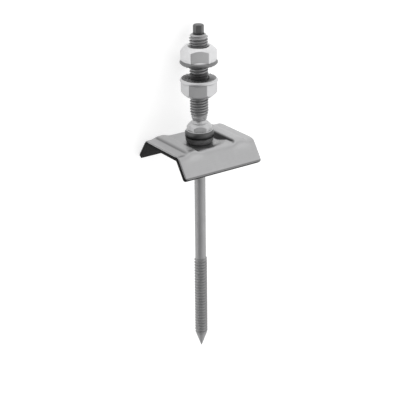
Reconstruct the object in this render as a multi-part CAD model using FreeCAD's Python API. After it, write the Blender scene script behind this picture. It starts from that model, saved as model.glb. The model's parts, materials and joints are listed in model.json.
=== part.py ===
import FreeCAD, Part
import math
import os

# Solar hanger bolt: a screw with a machine thread on top and a tapping thread below,
# two flange nuts, a sealing washer, its rubber seal, and a folded saddle with a rubber lining.
# Sizes are in millimetres. Each piece is drawn in the screw's own frame, with Z up the axis
# and Z = 0 on the saddle's upper face, and is then laid down as the loose part comes to rest.

# Machine-threaded stud at the upper end
stud_diameter = 10.0
stud_end_height = 58.6
stud_end_chamfer = 1.2
stud_taper_length = 4.9
stud_taper_fullness = 0.62
drive_width_across_flats = 5.0
drive_length = 5.0
drive_chamfer = 0.4

# Neck, hexagon and flange below the stud
neck_diameter = 7.2
neck_foot_diameter = 8.8
neck_length = 1.8
collar_width_across_flats = 12.0
collar_hexagon_height = 3.9
collar_chamfer_height = 1.5
collar_crown_inset = 1.0
collar_flange_diameter = 15.8
collar_flange_cone_height = 1.3
collar_flange_rim = 1.5
collar_cone_tuck = 0.2

# Shank, tapping thread and point
shank_diameter = 6.1
tapping_thread_diameter = 7.3
tapping_thread_core = 6.2
tapping_thread_length = 50.0
thread_runout = 0.6
shank_length_below_saddle = 70.8
point_length = 8.0
point_tip_diameter = 0.5

# Flange nuts
nut_width_across_flats = 17.0
nut_height = 10.0
nut_flange_diameter = 20.4
nut_flange_rim = 1.5
nut_flange_chamfer = 0.8
nut_flange_cone_height = 1.2
nut_cone_tuck = 1.3
nut_crown_diameter = 15.6
nut_crown_slope = 45.0
nut_countersink_diameter = 12.0
nut_thread_clearance = 0.05
lower_nut_seat_height = 34.7
bracket_gap = 7.7
lower_nut_turn = -8.0

# Sealing washer and its rubber seal
washer_diameter = 15.6
washer_thickness = 1.1
washer_edge_chamfer = 0.2
washer_thread_clearance = 0.15
seal_diameter = 15.3
seal_foot_diameter = 13.0
seal_height = 3.6
seal_foot_taper = 1.0
seal_shoulder = 0.8
seal_shank_clearance = 0.1

# Folded saddle sheet
saddle_length = 50.0
saddle_top_width = 32.0
saddle_flank_length = 13.3
saddle_flank_angle = 55.0
sheet_thickness = 1.0
bend_inner_radius = 1.5
smallest_bend_radius = 0.3
foot_corner_radius = 1.5
saddle_hole_clearance = 0.35

# Pressed dish round the hole and the two stiffening beads across the sheet
dish_depth = 1.6
dish_floor_diameter = 18.4
dish_rim_diameter = 28.6
bead_height = 1.5
bead_inner_edge = 11.1
bead_base_width = 8.3
bead_side_run = 1.7
bead_fade_length = 3.0
bead_crest_radius = 1.4

# Rubber lining bonded under the saddle
lining_thickness = 1.5

# Solids that cut stand this far past the face that they cut
cutter_overrun = 1.0
# Edges are found within this distance of their worked-out place
edge_match = 0.01

# The seat stack is worked up from the dish floor to the underside of the collar flange
dish_floor_height = -dish_depth
washer_seat_height = dish_floor_height + seal_height
collar_foot_height = washer_seat_height + washer_thickness
hexagon_foot_height = collar_foot_height + collar_flange_rim + collar_flange_cone_height
hexagon_top_height = hexagon_foot_height + collar_hexagon_height
neck_top_height = hexagon_top_height + neck_length
stud_foot_height = neck_top_height + stud_taper_length
upper_nut_seat_height = lower_nut_seat_height + bracket_gap

flank_angle = math.radians(saddle_flank_angle)
flank_run = saddle_flank_length * math.cos(flank_angle)
flank_drop = saddle_flank_length * math.sin(flank_angle)
foot_half_width = saddle_top_width / 2 + flank_run

AXIS = FreeCAD.Vector(0, 0, 1)
ORIGIN = FreeCAD.Vector(0, 0, 0)


def turned(profile):
    """A solid of revolution about Z, from (radius, height) points in order."""
    points = [FreeCAD.Vector(radius, 0, height) for radius, height in profile]
    wire = Part.makePolygon(points + [points[0]])
    return Part.Face(wire).revolve(ORIGIN, AXIS, 360)


def hexagon(width_across_flats, bottom, top, turn=0.0):
    """A hexagonal prism with a corner at turn degrees from +Y."""
    corner_radius = width_across_flats / math.sqrt(3)
    corners = []
    for step in range(7):
        angle = math.radians(90 + turn + 60 * step)
        x = corner_radius * math.cos(angle)
        y = corner_radius * math.sin(angle)
        corners.append(FreeCAD.Vector(x, y, bottom))
    return Part.Face(Part.makePolygon(corners)).extrude(FreeCAD.Vector(0, 0, top - bottom))


def crowned_hexagon(width_across_flats, bottom, top, crown_radius, crown_height, turn=0.0):
    """A hexagonal prism whose upper corners are turned off by a cone."""
    corner_radius = width_across_flats / math.sqrt(3)
    cone = turned([
        (0, bottom),
        (corner_radius, bottom),
        (corner_radius, top - crown_height),
        (crown_radius, top),
        (0, top),
    ])
    return hexagon(width_across_flats, bottom, top, turn).common(cone)


def stud_and_neck():
    """The threaded stud at its outer diameter, drawn in below to the neck."""
    stud_radius = stud_diameter / 2
    neck_radius = neck_diameter / 2
    middle_height = (neck_top_height + stud_foot_height) / 2
    middle_radius = neck_radius + stud_taper_fullness * (stud_radius - neck_radius)
    taper = Part.Arc(
        FreeCAD.Vector(neck_radius, 0, neck_top_height),
        FreeCAD.Vector(middle_radius, 0, middle_height),
        FreeCAD.Vector(stud_radius, 0, stud_foot_height),
    ).toShape()
    outline = [
        (stud_radius, stud_foot_height),
        (stud_radius, stud_end_height - stud_end_chamfer),
        (stud_radius - stud_end_chamfer, stud_end_height),
        (0, stud_end_height),
        (0, hexagon_top_height - collar_chamfer_height),
        (neck_foot_diameter / 2, hexagon_top_height - collar_chamfer_height),
        (neck_foot_diameter / 2, hexagon_top_height),
        (neck_radius, neck_top_height),
    ]
    rest = Part.makePolygon([FreeCAD.Vector(radius, 0, height) for radius, height in outline])
    wire = Part.Wire([taper] + rest.Edges)
    return Part.Face(wire).revolve(ORIGIN, AXIS, 360)


def drive_pin():
    """The small hexagon on the stud's end that the driver turns."""
    corner_radius = drive_width_across_flats / math.sqrt(3)
    return crowned_hexagon(
        drive_width_across_flats,
        stud_end_height - stud_end_chamfer,
        stud_end_height + drive_length,
        corner_radius - drive_chamfer,
        drive_chamfer,
    )


def collar():
    """The hexagon and the coned flange that press on the sealing washer."""
    flange_radius = collar_flange_diameter / 2
    corner_radius = collar_width_across_flats / math.sqrt(3)
    flange = turned([
        (0, collar_foot_height),
        (flange_radius, collar_foot_height),
        (flange_radius, collar_foot_height + collar_flange_rim),
        (corner_radius - collar_cone_tuck, hexagon_foot_height),
        (0, hexagon_foot_height),
    ])
    head = crowned_hexagon(
        collar_width_across_flats,
        collar_foot_height + collar_flange_rim,
        hexagon_top_height,
        collar_width_across_flats / 2 - collar_crown_inset,
        collar_chamfer_height,
    )
    return flange.fuse(head)


def shank_and_point():
    """The plain shank, the tapping thread at its outer diameter, and the point."""
    shank_radius = shank_diameter / 2
    thread_radius = tapping_thread_diameter / 2
    core_radius = tapping_thread_core / 2
    thread_top = -shank_length_below_saddle
    thread_end = thread_top - tapping_thread_length
    return turned([
        (0, collar_foot_height + collar_flange_rim),
        (shank_radius, collar_foot_height + collar_flange_rim),
        (shank_radius, thread_top),
        (thread_radius, thread_top - thread_runout),
        (thread_radius, thread_end + thread_runout),
        (core_radius, thread_end),
        (point_tip_diameter / 2, thread_end - point_length),
        (0, thread_end - point_length),
    ])


def hanger_screw():
    """The one-piece screw, from the drive to the point."""
    screw = stud_and_neck().fuse([drive_pin(), collar(), shank_and_point()])
    return screw.removeSplitter()


def flange_nut(turn):
    """A flange nut with its bearing face at Z = 0 and its crown up."""
    bore_radius = stud_diameter / 2 + nut_thread_clearance
    flange_radius = nut_flange_diameter / 2
    corner_radius = nut_width_across_flats / math.sqrt(3)
    crown_radius = nut_crown_diameter / 2
    crown_height = (corner_radius - crown_radius) * math.tan(math.radians(nut_crown_slope))
    countersink_radius = nut_countersink_diameter / 2
    countersink_depth = countersink_radius - bore_radius
    body = crowned_hexagon(nut_width_across_flats, 0, nut_height, crown_radius, crown_height, turn)
    flange = turned([
        (0, 0),
        (flange_radius - nut_flange_chamfer, 0),
        (flange_radius, nut_flange_chamfer),
        (flange_radius, nut_flange_rim),
        (corner_radius - nut_cone_tuck, nut_flange_rim + nut_flange_cone_height),
        (0, nut_flange_rim + nut_flange_cone_height),
    ])
    bore = turned([
        (0, 0),
        (countersink_radius, 0),
        (bore_radius, countersink_depth),
        (bore_radius, nut_height - countersink_depth),
        (countersink_radius, nut_height),
        (0, nut_height),
    ])
    return body.fuse(flange).cut(bore).removeSplitter()


def upper_nut():
    """The nut above the clamped bracket, with its flange facing down."""
    return flange_nut(0).translated(FreeCAD.Vector(0, 0, upper_nut_seat_height))


def lower_nut():
    """The nut below the clamped bracket, turned over so that its flange faces up."""
    nut = flange_nut(-lower_nut_turn)
    nut.rotate(ORIGIN, FreeCAD.Vector(0, 1, 0), 180)
    return nut.translated(FreeCAD.Vector(0, 0, lower_nut_seat_height))


def sealing_washer():
    """The steel washer that spreads the collar's load over the seal."""
    hole_radius = tapping_thread_diameter / 2 + washer_thread_clearance
    radius = washer_diameter / 2
    return turned([
        (hole_radius, washer_seat_height),
        (radius, washer_seat_height),
        (radius, collar_foot_height - washer_edge_chamfer),
        (radius - washer_edge_chamfer, collar_foot_height),
        (hole_radius, collar_foot_height),
    ])


def seal():
    """The rubber ring pressed between the washer and the saddle's dish."""
    hole_radius = shank_diameter / 2 + seal_shank_clearance
    radius = seal_diameter / 2
    return turned([
        (hole_radius, dish_floor_height),
        (seal_foot_diameter / 2, dish_floor_height),
        (radius, dish_floor_height + seal_foot_taper),
        (radius, washer_seat_height - seal_shoulder),
        (radius - seal_shoulder, washer_seat_height),
        (hole_radius, washer_seat_height),
    ])


def extruded_along(outline, length):
    """A prism along X, centred on the axis, from (y, z) points in order."""
    points = [FreeCAD.Vector(-length / 2, y, z) for y, z in outline]
    return Part.Face(Part.makePolygon(points + [points[0]])).extrude(FreeCAD.Vector(length, 0, 0))


def block_under_sheet(inset):
    """The solid under the folded sheet's upper face, set in by a wall thickness."""
    corner_half_width = saddle_top_width / 2 - inset * math.tan(flank_angle / 2)
    reach = saddle_flank_length + 2 * (sheet_thickness + lining_thickness)
    foot_y = corner_half_width + reach * math.cos(flank_angle)
    foot_z = -inset - reach * math.sin(flank_angle)
    prism = extruded_along([
        (-foot_y, foot_z),
        (-corner_half_width, -inset),
        (corner_half_width, -inset),
        (foot_y, foot_z),
    ], saddle_length)
    bend_radius = max(bend_inner_radius + sheet_thickness - inset, smallest_bend_radius)
    bends = [edge for edge in prism.Edges if is_bend(edge, corner_half_width, -inset)]
    return prism.makeFillet(bend_radius, bends)


def is_bend(edge, half_width, height):
    """Whether an edge is one of the two bend lines that run along the saddle."""
    middle = edge.valueAt((edge.FirstParameter + edge.LastParameter) / 2)
    runs_along = edge.BoundBox.XLength > saddle_length / 2
    in_place = abs(abs(middle.y) - half_width) < edge_match and abs(middle.z - height) < edge_match
    return runs_along and in_place


def dish_cutter(inset):
    """What the pressed dish removes from the block, deeper by the walls above it."""
    slope = (dish_rim_diameter - dish_floor_diameter) / 2 / dish_depth
    shift = inset * (math.sqrt(1 + slope * slope) - slope)
    floor_height = dish_floor_height - inset
    floor_radius = dish_floor_diameter / 2 + shift
    rim_radius = floor_radius + slope * (cutter_overrun - floor_height)
    return turned([
        (0, floor_height),
        (floor_radius, floor_height),
        (rim_radius, cutter_overrun),
        (0, cutter_overrun),
    ])


def is_level(edge, height):
    """Whether the whole of an edge lies at one height."""
    box = edge.BoundBox
    return abs(box.ZMin - height) < edge_match and abs(box.ZMax - height) < edge_match


def bead(side, inset):
    """One stiffening bead across the sheet, which fades out down both flanks."""
    shift = inset * math.tan(math.atan2(bead_height, bead_side_run) / 2)
    inner = bead_inner_edge + shift
    outer = bead_inner_edge + bead_base_width - shift
    crest = bead_height - inset
    toe_run = dish_depth * bead_side_run / bead_height
    toe_height = -inset - dish_depth
    bottom = -flank_drop
    across = [
        (inner - toe_run, bottom),
        (inner - toe_run, toe_height),
        (inner + bead_side_run, crest),
        (outer - bead_side_run, crest),
        (outer + toe_run, toe_height),
        (outer + toe_run, bottom),
    ]
    half = foot_half_width + bead_height
    points = [FreeCAD.Vector(side * x, -half, z) for x, z in across]
    ridge = Part.Face(Part.makePolygon(points + [points[0]])).extrude(FreeCAD.Vector(0, 2 * half, 0))
    crest_edges = [edge for edge in ridge.Edges if is_level(edge, crest) and edge.Length > half]
    ridge = ridge.makeFillet(bead_crest_radius - inset, crest_edges)
    crest_half_width = saddle_top_width / 2 + crest * math.tan(flank_angle / 2)
    fade_y = saddle_top_width / 2 + bead_fade_length * math.cos(flank_angle) - inset * math.sin(flank_angle)
    fade_z = -bead_fade_length * math.sin(flank_angle) - inset * math.cos(flank_angle)
    fading = extruded_along([
        (-fade_y, fade_z),
        (-crest_half_width, crest),
        (crest_half_width, crest),
        (fade_y, fade_z),
    ], saddle_length)
    bends = [edge for edge in fading.Edges if is_bend(edge, crest_half_width, crest)]
    bend_radius = bend_inner_radius + sheet_thickness + bead_height - inset
    return ridge.common(fading.makeFillet(bend_radius, bends))


def foot_trim():
    """The space between the two feet, cut square to the flanks."""
    depth = flank_drop + foot_half_width / math.tan(flank_angle)
    return extruded_along([
        (-foot_half_width, -flank_drop),
        (0, -depth),
        (foot_half_width, -flank_drop),
        (foot_half_width, bead_height + cutter_overrun),
        (-foot_half_width, bead_height + cutter_overrun),
    ], saddle_length + cutter_overrun)


def pressed_block(inset, with_beads):
    """The block under a pressed face of the saddle: bends, dish and, on the sheet, the beads."""
    block = block_under_sheet(inset).cut(dish_cutter(inset))
    if with_beads:
        block = block.fuse([bead(1, inset), bead(-1, inset)])
    return block


def centre_hole(radius):
    """A round hole on the axis, through sheet and lining."""
    depth = dish_depth + sheet_thickness + lining_thickness + cutter_overrun
    return Part.makeCylinder(radius, depth, FreeCAD.Vector(0, 0, -depth))


def with_round_feet(layer, thickness):
    """The layer with the four corners of its feet rounded in the plane of each flank."""
    corners = [edge for edge in layer.Edges if is_foot_corner(edge, thickness)]
    return layer.makeFillet(foot_corner_radius, corners)


def is_foot_corner(edge, thickness):
    """Whether an edge runs through a layer's thickness at the end of a foot."""
    middle = edge.valueAt((edge.FirstParameter + edge.LastParameter) / 2)
    at_end = abs(abs(middle.x) - saddle_length / 2) < edge_match
    at_foot = middle.z < -flank_drop + thickness
    return at_end and at_foot and abs(edge.Length - thickness) < edge_match


def saddle():
    """The folded sheet with its dish, beads and hole."""
    sheet = pressed_block(0, True).cut(pressed_block(sheet_thickness, True)).common(foot_trim())
    hole_radius = tapping_thread_diameter / 2 + saddle_hole_clearance
    whole = sheet.cut(centre_hole(hole_radius)).removeSplitter()
    return with_round_feet(whole, sheet_thickness)


def saddle_lining():
    """The rubber lining bonded under the sheet, which bridges the hollow beads."""
    total = sheet_thickness + lining_thickness
    layer = pressed_block(sheet_thickness, False).cut(pressed_block(total, False)).common(foot_trim())
    hole_radius = shank_diameter / 2 + seal_shank_clearance
    whole = layer.cut(centre_hole(hole_radius)).removeSplitter()
    return with_round_feet(whole, lining_thickness)


def resting_lean():
    """How far the stud end drops when the part lies on one foot edge and the upper nut."""
    corner_radius = nut_width_across_flats / math.sqrt(3)
    crown_radius = nut_crown_diameter / 2
    crown_height = (corner_radius - crown_radius) * math.tan(math.radians(nut_crown_slope))
    nut_top = upper_nut_seat_height + nut_height
    touching = [
        (nut_flange_diameter / 2, upper_nut_seat_height + nut_flange_rim),
        (corner_radius, nut_top - crown_height),
        (crown_radius, nut_top),
        (stud_diameter / 2, stud_end_height - stud_end_chamfer),
    ]
    return min(math.atan2(foot_half_width - radius, height + flank_drop) for radius, height in touching)


def laid_down(shapes):
    """Turns the pieces to lie on the far foot edge and the upper nut, and sets the
    origin under the middle of the whole part."""
    sine = math.sin(resting_lean())
    cosine = math.cos(resting_lean())
    rotation = FreeCAD.Rotation(
        FreeCAD.Vector(0, -1, 0),
        FreeCAD.Vector(-sine, 0, -cosine),
        FreeCAD.Vector(cosine, 0, -sine),
        "ZXY",
    )
    turn = FreeCAD.Placement(ORIGIN, rotation).toMatrix()
    turned_shapes = {name: shape.transformed(turn) for name, shape in shapes.items()}
    box = Part.makeCompound(list(turned_shapes.values())).optimalBoundingBox(False)
    shift = FreeCAD.Vector(-box.Center.x, -box.Center.y, -box.ZMin)
    return {name: shape.translated(shift) for name, shape in turned_shapes.items()}


def build():
    """Every piece of the part, by name."""
    return {
        "hanger_screw": hanger_screw(),
        "upper_nut": upper_nut(),
        "lower_nut": lower_nut(),
        "sealing_washer": sealing_washer(),
        "seal": seal(),
        "saddle": saddle(),
        "saddle_lining": saddle_lining(),
    }


os.makedirs("parts", exist_ok=True)
for name, shape in laid_down(build()).items():
    shape.exportStep(f"parts/{name}.step")
    print(name, "valid", shape.isValid(), "solids", len(shape.Solids), "volume", round(shape.Volume, 1))
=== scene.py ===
# %% [markdown]
# # Solar hanger bolt
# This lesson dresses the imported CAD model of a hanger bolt: a long screw that goes through a roof
# sheet into the timber, with a threaded stud on top that carries a rail bracket between two nuts.
# The CAD model gives every place and size. Blender adds what a CAD solid leaves plain: the cut
# threads, the small worn edges, the serrated flanges, and the finishes of steel, aluminium and rubber.

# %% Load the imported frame
import functools
import json
import math

import bmesh
import bpy
from mathutils import Matrix, Vector


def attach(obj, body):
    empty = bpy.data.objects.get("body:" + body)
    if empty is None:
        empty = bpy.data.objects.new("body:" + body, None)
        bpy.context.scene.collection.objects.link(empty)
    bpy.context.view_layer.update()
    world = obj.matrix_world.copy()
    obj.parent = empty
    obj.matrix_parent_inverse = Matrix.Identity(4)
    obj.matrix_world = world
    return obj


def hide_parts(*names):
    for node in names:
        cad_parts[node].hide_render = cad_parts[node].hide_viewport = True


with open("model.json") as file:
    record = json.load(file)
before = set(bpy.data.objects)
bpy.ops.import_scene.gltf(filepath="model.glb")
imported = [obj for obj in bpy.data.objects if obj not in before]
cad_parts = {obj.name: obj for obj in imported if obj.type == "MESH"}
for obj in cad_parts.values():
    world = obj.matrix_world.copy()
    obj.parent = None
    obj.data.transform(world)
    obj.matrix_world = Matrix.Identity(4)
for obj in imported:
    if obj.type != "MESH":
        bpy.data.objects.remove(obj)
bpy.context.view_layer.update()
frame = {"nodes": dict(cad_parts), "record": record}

print("CAD nodes:", ", ".join(sorted(frame["nodes"])))

# %% [markdown]
# ## The screw's own frame
# The loose part lies on its side, so nothing in it is upright. Turned parts are far easier to draw
# in the screw's own frame, with Z up the axis and zero on the saddle's upper face. The record says
# where the bracket seats on the lower nut and which way the axis points there, so that mount gives
# the whole frame. The saddle's length runs across it, along the world's Y.

# %% Find the screw's frame from the bracket's seat
MM = 0.001
LOWER_NUT_SEAT = 34.7 * MM
mounts = {mount["name"]: mount for mount in frame["record"]["mounts"]}
seat = mounts["bracket_seat"]
axis = Vector(seat["axis"]).normalized()
along_saddle = Vector((0, -1, 0))
across_saddle = axis.cross(along_saddle)
origin = Vector(seat["pos_m"]) - axis * LOWER_NUT_SEAT
lie = Matrix((along_saddle, across_saddle, axis)).transposed().to_4x4()
lie.translation = origin
print("Saddle's centre in the world, mm:", [round(value / MM, 2) for value in origin])

# %% [markdown]
# ## Camera
# The photograph looks down on the saddle's near corner with a long lens. The view was worked out in
# the screw's frame: how far off the camera is, how far round and how high, and how it is then panned,
# tilted and rolled. Carried into the world with the part, it looks down on the part as it lies.

# %% Set the camera
CAMERA_DISTANCE = 600 * MM
CAMERA_AZIMUTH = math.radians(34.46)
CAMERA_ELEVATION = math.radians(20.21)
CAMERA_PAN = math.radians(-0.02)
CAMERA_TILT = math.radians(-3.19)
CAMERA_ROLL = math.radians(0.57)
FOCAL_LENGTH_PIXELS = 1102.2
IMAGE_PIXELS = 400
HALF_PIXEL = 0.5 / IMAGE_PIXELS
SENSOR_WIDTH = 36.0
CLIP_START = 10 * MM


def add_object(name, data):
    """A new object, linked to the scene."""
    thing = bpy.data.objects.new(name, data)
    bpy.context.scene.collection.objects.link(thing)
    return thing


image_right = Vector((math.cos(CAMERA_AZIMUTH), -math.sin(CAMERA_AZIMUTH), 0))
away = Vector((math.sin(CAMERA_AZIMUTH), math.cos(CAMERA_AZIMUTH), 0))
camera_place = -away * math.cos(CAMERA_ELEVATION) * CAMERA_DISTANCE
camera_place.z = math.sin(CAMERA_ELEVATION) * CAMERA_DISTANCE
look = -camera_place.normalized()
image_up = image_right.cross(look)
facing = Matrix((image_right, image_up, -look)).transposed()
facing = facing @ Matrix.Rotation(CAMERA_PAN, 3, "Y")
facing = facing @ Matrix.Rotation(CAMERA_TILT, 3, "X")
facing = facing @ Matrix.Rotation(-CAMERA_ROLL, 3, "Z")

camera_data = bpy.data.cameras.new("camera")
camera_data.sensor_width = SENSOR_WIDTH
camera_data.lens = FOCAL_LENGTH_PIXELS * SENSOR_WIDTH / IMAGE_PIXELS
camera_data.shift_x = -HALF_PIXEL
camera_data.shift_y = HALF_PIXEL
camera_data.clip_start = CLIP_START
camera = add_object("camera", camera_data)
camera.matrix_world = lie @ Matrix.Translation(camera_place) @ facing.to_4x4()
bpy.context.scene.camera = camera
print("Camera height over the floor, mm:", round(camera.matrix_world.translation.z / MM))

# %% [markdown]
# ## Shader groups
# Each small effect that the finishes are mixed from is one node group with its own inputs.
# "Screw frame" turns Object coordinates into the screw's frame in millimetres, so that drawing
# marks run along the shank and rolling marks along the sheet, though the part lies at a slant.

# %% Helpers for node trees
FLOAT = "NodeSocketFloat"
VECTOR = "NodeSocketVector"


def new_shader_group(name, inputs, outputs):
    """An empty shader group with named sockets, and its two end nodes."""
    group = bpy.data.node_groups.new(name, "ShaderNodeTree")
    for socket_name, kind, default in inputs:
        socket = group.interface.new_socket(socket_name, in_out="INPUT", socket_type=kind)
        socket.default_value = default
    for socket_name, kind in outputs:
        group.interface.new_socket(socket_name, in_out="OUTPUT", socket_type=kind)
    return group, group.nodes.new("NodeGroupInput"), group.nodes.new("NodeGroupOutput")


def place_group(tree, group, output=0, **values):
    """A group node with its own input values; returns one of its outputs."""
    node = tree.nodes.new("ShaderNodeGroup")
    node.node_tree = group
    for name, value in values.items():
        node.inputs[name.replace("_", " ")].default_value = value
    return node.outputs[output]


def feed(tree, socket, value):
    """Links another socket to an input, or sets the input to a plain value."""
    if isinstance(value, bpy.types.NodeSocket):
        tree.links.new(value, socket)
    else:
        socket.default_value = value


# %% Math and vectors in a node tree
def add_math(tree, operation, first, second=None, clamp=False):
    """A Math node whose inputs are sockets or numbers; returns its output."""
    node = tree.nodes.new("ShaderNodeMath")
    node.operation = operation
    node.use_clamp = clamp
    feed(tree, node.inputs[0], first)
    if second is not None:
        feed(tree, node.inputs[1], second)
    return node.outputs[0]


def product(tree, first, *others):
    """Several sockets or numbers, multiplied together."""
    for other in others:
        first = add_math(tree, "MULTIPLY", first, other)
    return first


def add_vector_math(tree, operation, first, second, output="Vector"):
    """A Vector Math node whose inputs are sockets or vectors; returns one of its outputs."""
    node = tree.nodes.new("ShaderNodeVectorMath")
    node.operation = operation
    feed(tree, node.inputs[0], first)
    feed(tree, node.inputs[1], second)
    return node.outputs[output]


def split_vector(tree, vector):
    """The X, Y and Z sockets of a vector."""
    node = tree.nodes.new("ShaderNodeSeparateXYZ")
    tree.links.new(vector, node.inputs[0])
    return node.outputs


def join_vector(tree, **parts):
    """A vector made of the sockets given as X, Y and Z."""
    node = tree.nodes.new("ShaderNodeCombineXYZ")
    for name, part in parts.items():
        tree.links.new(part, node.inputs[name])
    return node.outputs[0]


# %% Coordinates in the screw's own frame
screw_frame, _, frame_out = new_shader_group("Screw frame", [], [("Vector", VECTOR)])
coordinates = screw_frame.nodes.new("ShaderNodeTexCoord")
to_screw = screw_frame.nodes.new("ShaderNodeMapping")
to_screw.vector_type = "TEXTURE"
to_screw.inputs["Location"].default_value = origin
to_screw.inputs["Rotation"].default_value = lie.to_euler()
to_screw.inputs["Scale"].default_value = (MM, MM, MM)
screw_frame.links.new(coordinates.outputs["Object"], to_screw.inputs["Vector"])
screw_frame.links.new(to_screw.outputs[0], frame_out.inputs["Vector"])
print("Shader group:", screw_frame.name)

# %% [markdown]
# "Grain" is stretched noise: long fine marks on drawn or rolled metal, round mottling on a pressed
# or moulded piece. Its inputs say how dense the marks are along each direction.

# %% Grain: stretched noise
MIDDLE = 0.5
grain, grain_in, grain_out = new_shader_group(
    "Grain",
    [("Density", VECTOR, (1, 1, 1)), ("Detail", FLOAT, 4.0), ("Contrast", FLOAT, 1.0)],
    [("Value", FLOAT)],
)
stretched = add_vector_math(grain, "MULTIPLY", place_group(grain, screw_frame), grain_in.outputs["Density"])
marks = grain.nodes.new("ShaderNodeTexNoise")
marks.inputs["Scale"].default_value = 1.0
grain.links.new(stretched, marks.inputs["Vector"])
grain.links.new(grain_in.outputs["Detail"], marks.inputs["Detail"])
centred = add_math(grain, "SUBTRACT", marks.outputs[0], MIDDLE)
scaled = add_math(grain, "MULTIPLY", centred, grain_in.outputs["Contrast"])
grain.links.new(add_math(grain, "ADD", scaled, MIDDLE, clamp=True), grain_out.inputs["Value"])
print("Shader group:", grain.name)

# %% [markdown]
# "Edge wear" finds convex edges by comparing the true normal with one rounded over a small radius.
# Handling polishes such edges, so they shine a little brighter than the faces beside them.

# %% Edge wear: a mask on worn edges
edge_wear, edge_in, edge_out = new_shader_group(
    "Edge wear", [("Radius", FLOAT, 0.3 * MM), ("Strength", FLOAT, 4.0)], [("Mask", FLOAT)],
)
rounded = edge_wear.nodes.new("ShaderNodeBevel")
true_normal = edge_wear.nodes.new("ShaderNodeNewGeometry").outputs["Normal"]
edge_wear.links.new(edge_in.outputs["Radius"], rounded.inputs["Radius"])
agreement = add_vector_math(edge_wear, "DOT_PRODUCT", rounded.outputs[0], true_normal, "Value")
difference = add_math(edge_wear, "SUBTRACT", 1.0, agreement)
edge_mask = add_math(edge_wear, "MULTIPLY", difference, edge_in.outputs["Strength"], clamp=True)
edge_wear.links.new(edge_mask, edge_out.inputs["Mask"])
print("Shader group:", edge_wear.name)

# %% [markdown]
# "Painted crevice shade" is the opposite: it paints shade where little light gets in, between thread
# turns and in the corners under a flange, so those places are darker, and the same mask makes them duller.

# %% Painted crevice shade: a mask for each crevice
painted_crevice_shade, crevice_shade_in, crevice_shade_out = new_shader_group("Painted crevice shade", [("Reach", FLOAT, 1.5 * MM)], [("Mask", FLOAT)])
occlusion = painted_crevice_shade.nodes.new("ShaderNodeAmbientOcclusion")
occlusion.samples = 8
painted_crevice_shade.links.new(crevice_shade_in.outputs["Reach"], occlusion.inputs["Distance"])
covered = add_math(painted_crevice_shade, "SUBTRACT", 1.0, occlusion.outputs["AO"], clamp=True)
painted_crevice_shade.links.new(covered, crevice_shade_out.inputs["Mask"])
print("Shader group:", painted_crevice_shade.name)

# %% [markdown]
# "Bead walls" marks the sloping walls of the two pressed beads, which face partly along the saddle,
# more at their feet than near their crests. The finish paints those walls darker, as painted shade.
# The walls that face each other get a darker paint still, a painted reflection of the black seal
# between them, so a second output marks those. The sheared ends of the sheet face wholly along it,
# and stay bright.

# %% Bead walls: masks on what faces partly along the saddle
SLOPING_SHARES = (0.25, 0.5)
SHEET_END_SHARES = (0.95, 0.85)
WALL_HEIGHTS_MM = (1.45, 0.6)
BETWEEN_BEADS_MM = (14.6, 14.0)


def climb_between(tree, value, limits):
    """A value that climbs from 0 to 1 between two limits, or falls if the first is the higher."""
    node = tree.nodes.new("ShaderNodeMapRange")
    node.inputs["From Min"].default_value, node.inputs["From Max"].default_value = limits
    tree.links.new(value, node.inputs["Value"])
    return node.outputs["Result"]


bead_walls, _, walls_out = new_shader_group("Bead walls", [], [("Walls", FLOAT), ("Inner Walls", FLOAT)])
face_normal = bead_walls.nodes.new("ShaderNodeNewGeometry").outputs["Normal"]
along = add_vector_math(bead_walls, "DOT_PRODUCT", face_normal, along_saddle, "Value")
share_along = add_math(bead_walls, "ABSOLUTE", along)
wall_place = split_vector(bead_walls, place_group(bead_walls, screw_frame))
sloping = climb_between(bead_walls, share_along, SLOPING_SHARES)
not_an_end = climb_between(bead_walls, share_along, SHEET_END_SHARES)
low_down = climb_between(bead_walls, wall_place["Z"], WALL_HEIGHTS_MM)
from_middle = add_math(bead_walls, "ABSOLUTE", wall_place["X"])
between_beads = climb_between(bead_walls, from_middle, BETWEEN_BEADS_MM)
walls = product(bead_walls, sloping, not_an_end, low_down)
bead_walls.links.new(walls, walls_out.inputs["Walls"])
bead_walls.links.new(product(bead_walls, walls, between_beads), walls_out.inputs["Inner Walls"])
print("Shader group:", bead_walls.name)

# %% [markdown]
# "Painted shade ring" marks a ring between two heights and two radii, and paints shade there. The
# photograph shows the flanges of the collar and the upper nut much darker than the hexagons above
# them, and that darkness is painted here as shade under the hexagons. The same mask paints shade on
# the stud's thread just above the lower nut, in the lower nut's mouth, and on the saddle's lower flanks and
# rims.

# %% Painted shade ring: a mask between two heights and two radii
RIM_SOFTNESS_MM = 0.2
painted_shade_ring, rim_in, rim_out = new_shader_group(
    "Painted shade ring",
    [("Low", FLOAT, 0.0), ("High", FLOAT, 1.0), ("Inner Radius", FLOAT, 0.0), ("Outer Radius", FLOAT, 1.0)],
    [("Mask", FLOAT)],
)


def soft_step(tree, value, limit):
    """0 below a limit and 1 above it, with a short soft step between them."""
    past = add_math(tree, "SUBTRACT", value, limit)
    return add_math(tree, "DIVIDE", past, RIM_SOFTNESS_MM, clamp=True)


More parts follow.
